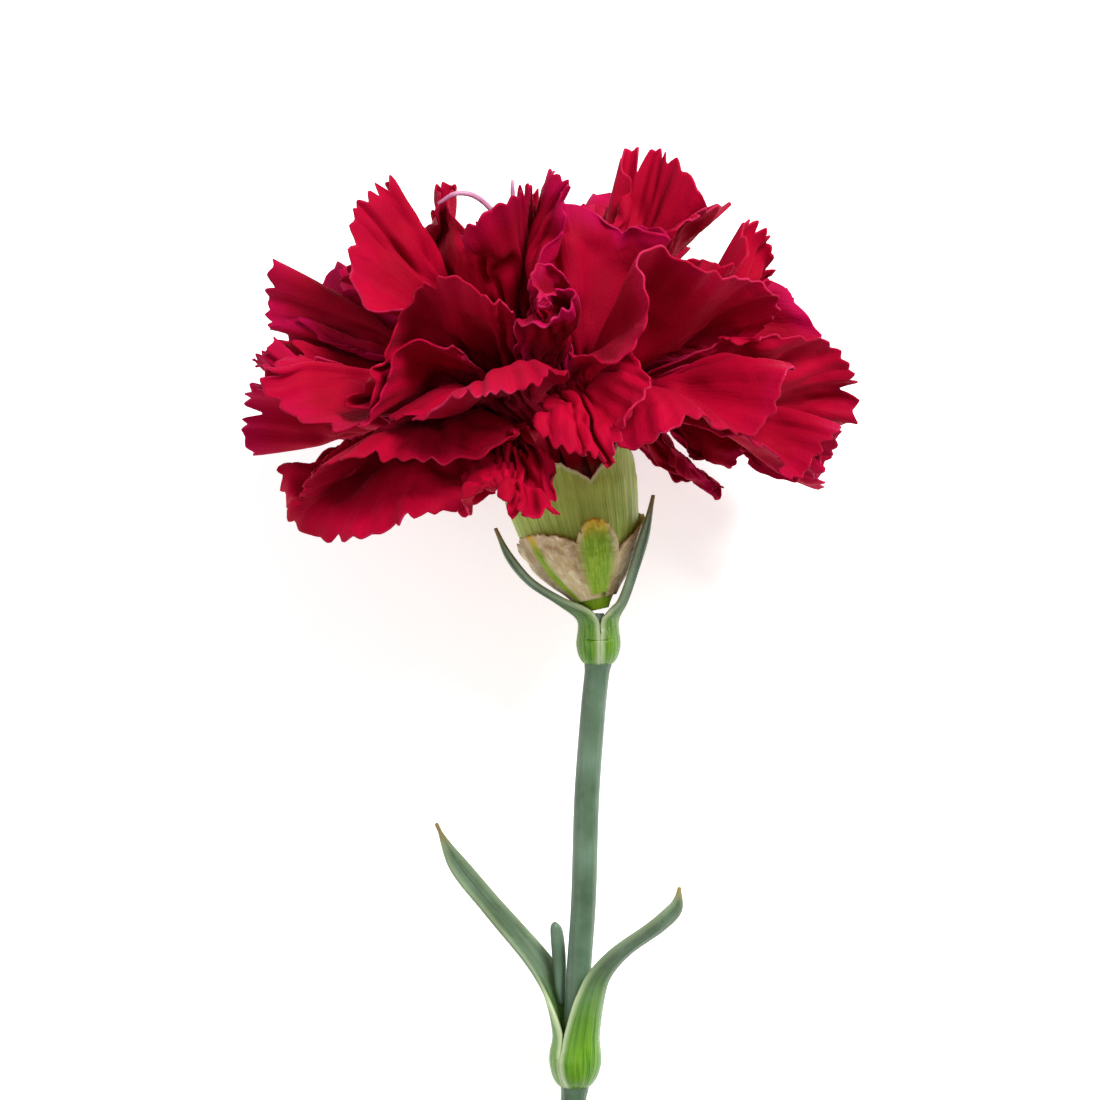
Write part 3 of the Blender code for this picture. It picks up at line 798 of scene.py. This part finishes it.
# %% Leaf shape
def gutter_leaf(node, azimuth, twist, knots, collar_ends, thickness):
    """A leaf from knots of its midrib: x, y, z, the radius of its arc, and the arc's half angle."""
    azimuth, twist = math.radians(azimuth), math.radians(twist)
    path = smooth_path(knots, 8)
    places = [Vector(row[:3]) for row in path]
    rows = []
    across = np.linspace(-1, 1, 33)
    for k, row in enumerate(path):
        along = (places[min(k + 1, len(path) - 1)] - places[max(k - 1, 0)]).normalized()
        if k < collar_ends * 8 * 0.6:
            along = Vector((0, 0, 1))
        sideways = Vector((-math.sin(azimuth), math.cos(azimuth), 0))
        sideways = (sideways - along * sideways.dot(along)).normalized()
        beyond_foot = max(0, k / (len(path) - 1) - 0.45) / 0.55
        sideways = Matrix.Rotation(twist * beyond_foot, 3, along) @ sideways
        inward = along.cross(sideways)
        angle = math.radians(row[4]) * across
        radius = row[3]
        arc = np.outer(radius * np.sin(angle), sideways) + np.outer(radius * (1 - np.cos(angle)), inward)
        crease = -0.16 * np.exp(-((across / 0.16) ** 2)) * ease(0.3, 0.6, k / len(path))
        rows.append(np.array(places[k]) + arc + np.outer(crease, inward))
    rows = np.array(rows)
    leaf = sheet(f"waxy_{node}", on_table(rows, laid_down))
    share = np.linspace(0, 1, len(path))
    foot_end = collar_ends / (len(knots) - 1)
    note(leaf, "foot", np.repeat(1 - ease(foot_end * 0.75, foot_end * 1.45, share), len(across)))
    width = np.radians(path[:, 4]) * path[:, 3]
    note(leaf, "margin", width[:, None] * (1 - np.abs(across))[None, :])
    thicken(leaf, thickness * MM)
    finish_piece(leaf, leaf_wax, node)
    return leaf


gutter_leaf("leaf_upper_right", 5, -40, [
    (5.05, 0.2, -22.2, 1.55, 91), (5.5, 0.2, -21.8, 2.0, 91), (5.95, 0.2, -20.9, 2.45, 91),
    (6.15, 0.2, -19.6, 2.65, 91), (5.95, 0.2, -18.2, 2.45, 91), (5.8, 0.1, -17.0, 2.25, 86),
    (6.05, 0.0, -15.9, 2.4, 60),
    (7, -0.9, -14.1, 2.7, 38), (8.2, -3.0, -10.5, 3.0, 28), (9.5, -3.5, -5.7, 3.0, 21),
    (10.4, -3.0, -0.7, 0.5, 8)], 5.5, 0.4)
gutter_leaf("leaf_upper_left", 185, 30, [
    (1.95, -0.2, -22.2, 1.55, 91), (1.5, -0.2, -21.8, 2.0, 91), (1.05, -0.2, -20.9, 2.45, 91),
    (0.85, -0.2, -19.6, 2.65, 91), (1.05, -0.2, -18.2, 2.45, 91), (1.15, -0.2, -17.0, 2.25, 86),
    (0.5, -0.4, -15.9, 2.4, 60),
    (-1.9, -1.5, -14.2, 2.7, 30), (-5.3, -2.9, -11.9, 2.8, 22), (-7.9, -3.5, -8.7, 2.6, 18),
    (-9.6, -3.3, -4.9, 0.5, 8)], 5.5, 0.4)
gutter_leaf("leaf_lower_right", -35, -20, [
    (1.85, -0.95, -76.3, 1.65, 92), (2.35, -1.3, -75.7, 2.25, 92), (2.8, -1.6, -74.7, 2.8, 92),
    (3.1, -1.8, -73.2, 3.15, 92), (3.05, -1.75, -71.8, 3.05, 91), (2.95, -1.6, -69.8, 2.8, 86),
    (3.4, -1.8, -65.5, 2.8, 68), (4.2, -2.4, -62.3, 3.0, 48), (6.7, -3.6, -59.1, 3.4, 34),
    (10.8, -4.8, -55.9, 3.8, 26), (13.2, -5.2, -53.3, 3.4, 20), (13.7, -5.0, -50.5, 0.5, 8)], 5.5, 0.5)
gutter_leaf("leaf_lower_left", 145, -50, [
    (-0.85, 0.95, -76.3, 1.65, 90), (-1.35, 1.3, -75.7, 2.25, 90), (-1.75, 1.55, -74.7, 2.75, 90),
    (-2.0, 1.75, -73.2, 3.05, 90), (-1.95, 1.7, -71.8, 2.95, 89), (-1.65, 1.6, -69.8, 2.75, 85),
    (-1.95, 1.95, -66.5, 2.9, 70), (-2.75, 2.55, -63.5, 3.0, 48), (-5, 3.5, -59.9, 3.2, 34),
    (-10.1, 4.8, -53.9, 3.6, 24), (-14.8, 5.4, -48.1, 3.4, 20), (-17.4, 5.0, -43, 0.5, 8)], 5.5, 0.5)
print("four leaves made")

# %% [markdown]
# ## Stem
#
# The stem is round and straight, a little thicker at each joint, with a waxy grey-green skin and
# a slanting cut at its lower end. It starts as a circle that is extruded ring by ring up the
# stem, each ring scaled to its own radius. A plane then slices the end off at the florist's
# slant, and the slice is filled.

# %% Stem material
stem_skin, tree, shader, coords = start_material(
    "stem_skin", Roughness=0.4, Specular_IOR_Level=0.45, Subsurface_Weight=0.04,
    Subsurface_Radius=(0.3, 0.6, 0.2), Subsurface_Scale=0.001,
)
lined_up = put(tree, "ShaderNodeMapping",
               {"Vector": coords["Object"], "Rotation": (math.pi / 2 - TILT, 0, 0)})
stretch = put(tree, "ShaderNodeMapping", {"Vector": lined_up.outputs[0], "Scale": (1500, 1500, 60)})
fibre_noise = put(tree, "ShaderNodeTexNoise", {"Vector": stretch.outputs[0], "Scale": 1, "Detail": 3})
fibres = ramp(tree, fibre_noise.outputs["Fac"], 0.35, 0.65)
bloom = mottle_mask(tree, coords["Object"], 170)
colour = over(tree, bloom, paint(62, 88, 62), paint(98, 124, 102))
colour = over(tree, times(tree, fibres, 0.35), colour, paint(84, 112, 80))
finish_material(tree, shader, colour, fibres, 0.0001)

cut_pith, tree, shader, coords = start_material("cut_pith", Roughness=0.75)
pores = mottle_mask(tree, coords["Object"], 3000)
finish_material(tree, shader, over(tree, pores, paint(196, 206, 150), paint(226, 232, 196)), pores, 0.0001)

# %% Stem shape
STEM_KNOTS = [
    (-0.3, 0, -101.5, 1.65), (0.1, 0, -89.5, 1.65), (0.3, 0, -79.1, 1.62), (0.45, 0, -77.2, 1.72),
    (0.5, 0, -76.2, 1.85), (0.5, 0, -75, 1.9), (0.7, 0, -69.5, 1.75), (1, 0, -61.5, 1.6),
    (1.6, 0, -52.5, 1.62), (2, 0, -39.5, 1.62), (2.8, 0, -28.5, 1.6), (3.3, 0, -23.6, 1.6),
    (3.45, 0, -22.5, 1.75), (3.5, 0, -21.3, 1.7), (3.5, 0, -20.3, 1.5), (3.45, 0, -18.3, 1.3),
    (3.35, 0, -16.7, 1.1), (3.25, 0, -15.8, 0.95),
]


def extruded_stem():
    rings = smooth_path(STEM_KNOTS, 5)
    places = on_table(rings[:, :3], laid_down)
    bpy.ops.object.select_all(action="DESELECT")
    bpy.ops.mesh.primitive_circle_add(vertices=48, radius=rings[0, 3] * MM, location=places[0],
                                      rotation=laid_down.to_euler())
    piece = bpy.context.object
    piece.name = piece.data.name = "waxy_stem"
    bpy.ops.object.transform_apply(location=True, rotation=True, scale=True)
    bpy.ops.object.mode_set(mode="EDIT")
    bpy.ops.mesh.select_all(action="SELECT")
    for before, after, ring, previous in zip(places, places[1:], rings[1:], rings):
        bpy.ops.mesh.extrude_region_move(TRANSFORM_OT_translate={"value": tuple(after - before)})
        scale = ring[3] / previous[3]
        bpy.ops.transform.resize(value=(scale, scale, scale), center_override=tuple(after))
    bpy.ops.mesh.edge_face_add()
    bpy.ops.mesh.select_all(action="SELECT")
    slant = laid_down.to_3x3() @ Vector((0, -math.sin(math.radians(35)), math.cos(math.radians(35))))
    bpy.ops.mesh.bisect(plane_co=tuple(on_table([-0.2, 0, -99.1], laid_down)), plane_no=slant,
                        use_fill=True, clear_inner=True)
    bpy.ops.mesh.select_all(action="SELECT")
    bpy.ops.mesh.normals_make_consistent(inside=False)
    bpy.ops.object.mode_set(mode="OBJECT")
    return piece, slant


stem, slant = extruded_stem()
pick_only(stem)
bpy.ops.object.shade_smooth_by_angle(angle=math.radians(40))
finish_piece(stem, stem_skin, "stem")
stem.data.materials.append(cut_pith)
cut_faces = [face for face in stem.data.polygons if face.normal.dot(slant) < -0.95]
for face in cut_faces:
    face.material_index = 1
print("stem faces:", len(stem.data.polygons), "of them on the cut:", len(cut_faces))

# %% [markdown]
# ## Side shoot and styles
#
# A young shoot stands in the angle of the lower left leaf, and two thin mauve styles arch out of
# the middle of the head. Each is a curve with a radius at each point, rounded by its bevel and
# then made a mesh.

# %% Round, curved pieces
def tapered_rod(name, knots, matrix, steps=4):
    """A round rod through knots of x, y, z and radius."""
    rings = smooth_path(knots, steps)
    places = on_table(rings[:, :3], matrix)
    bpy.ops.object.select_all(action="DESELECT")
    bpy.ops.curve.primitive_nurbs_path_add()
    rod = bpy.context.object
    rod.name = rod.data.name = name
    rod.data.splines.clear()
    spline = rod.data.splines.new("POLY")
    spline.points.add(len(rings) - 1)
    for point, place, ring in zip(spline.points, places, rings):
        point.co, point.radius = (*place, 1), ring[3] * MM
    rod.data.dimensions = "3D"
    rod.data.bevel_depth, rod.data.bevel_resolution, rod.data.use_fill_caps = 1.0, 6, True
    pick_only(rod)
    bpy.ops.object.convert(target="MESH")
    rod = bpy.context.object
    merge_doubles(rod)
    bpy.ops.object.shade_smooth()
    return rod


style_skin, tree, shader, coords = start_material("style_skin", Roughness=0.45, Specular_IOR_Level=0.4)
blotch = mottle_mask(tree, coords["Object"], 500)
finish_material(tree, shader, over(tree, blotch, paint(168, 96, 132), paint(206, 150, 182)), blotch, 0.0001)

shoot = tapered_rod("young_shoot", [(-1.15, 1.3, -66.1, 0.3), (-1.35, 1.55, -63.9, 0.72),
                                    (-1.5, 1.6, -60.5, 0.88), (-1.8, 1.5, -57.1, 0.85),
                                    (-2.05, 1.3, -55.9, 0.6), (-2.1, 1.3, -55.4, 0.12)], laid_down)
finish_piece(shoot, stem_skin, "side_shoot")
style_left = tapered_rod("mauve_style_left", [
    (-0.3, 0, -10, 0.22), (-0.5, 0, 0, 0.28), (-0.5, 0, 17, 0.3), (-0.8, -2.0, 29, 0.34),
    (-1.4, -5.0, 34.8, 0.36), (-3.4, -7.0, 38.4, 0.36), (-6.0, -8.0, 39.6, 0.32), (-8.6, -8.2, 38.8, 0.2)],
    head_on_stem)
finish_piece(style_left, style_skin, "style_left")
style_right = tapered_rod("mauve_style_right", [
    (0.3, 0, -10, 0.22), (0.5, 0, 0, 0.28), (0.5, 0, 17, 0.3), (0.6, -2.0, 29, 0.34),
    (0.9, -5.0, 34.5, 0.36), (0.8, -6.4, 37.6, 0.34), (1.2, -6.9, 39.8, 0.2)], head_on_stem)
finish_piece(style_right, style_skin, "style_right")
print("shoot and styles made")

# %% [markdown]
# ## The ovary
#
# The ovary is a small pale pod hidden in the foot of the calyx. Its plain solid is the right
# shape, so it stays, and only gets a better skin.

# %% Ovary skin
ovary_skin, tree, shader, coords = start_material("ovary_skin", Roughness=0.4)
seeds = mottle_mask(tree, coords["Object"], 700)
finish_material(tree, shader, over(tree, seeds, paint(176, 198, 110), paint(206, 218, 150)), seeds, 0.0002)
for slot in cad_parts["ovary"].material_slots:
    slot.material = ovary_skin

# %% [markdown]
# ## Table
#
# A plain pale table top, larger than the picture, so that only the flower and its soft shadow
# show.

# %% Table top
table_top, tree, shader, coords = start_material("pale_table", Roughness=0.8, Specular_IOR_Level=0.1)
cloudy = mottle_mask(tree, coords["Object"], 6)
tree.links.new(over(tree, cloudy, (0.93, 0.93, 0.93, 1), (0.95, 0.95, 0.95, 1)), shader.inputs["Base Color"])
shader.inputs["Emission Color"].default_value = (1, 1, 1, 1)
shader.inputs["Emission Strength"].default_value = 0.55
bpy.ops.object.select_all(action="DESELECT")
bpy.ops.mesh.primitive_plane_add(size=3, location=(0, 0, 0))
table = bpy.context.object
table.name = "table_top"
table.data.materials.append(table_top)
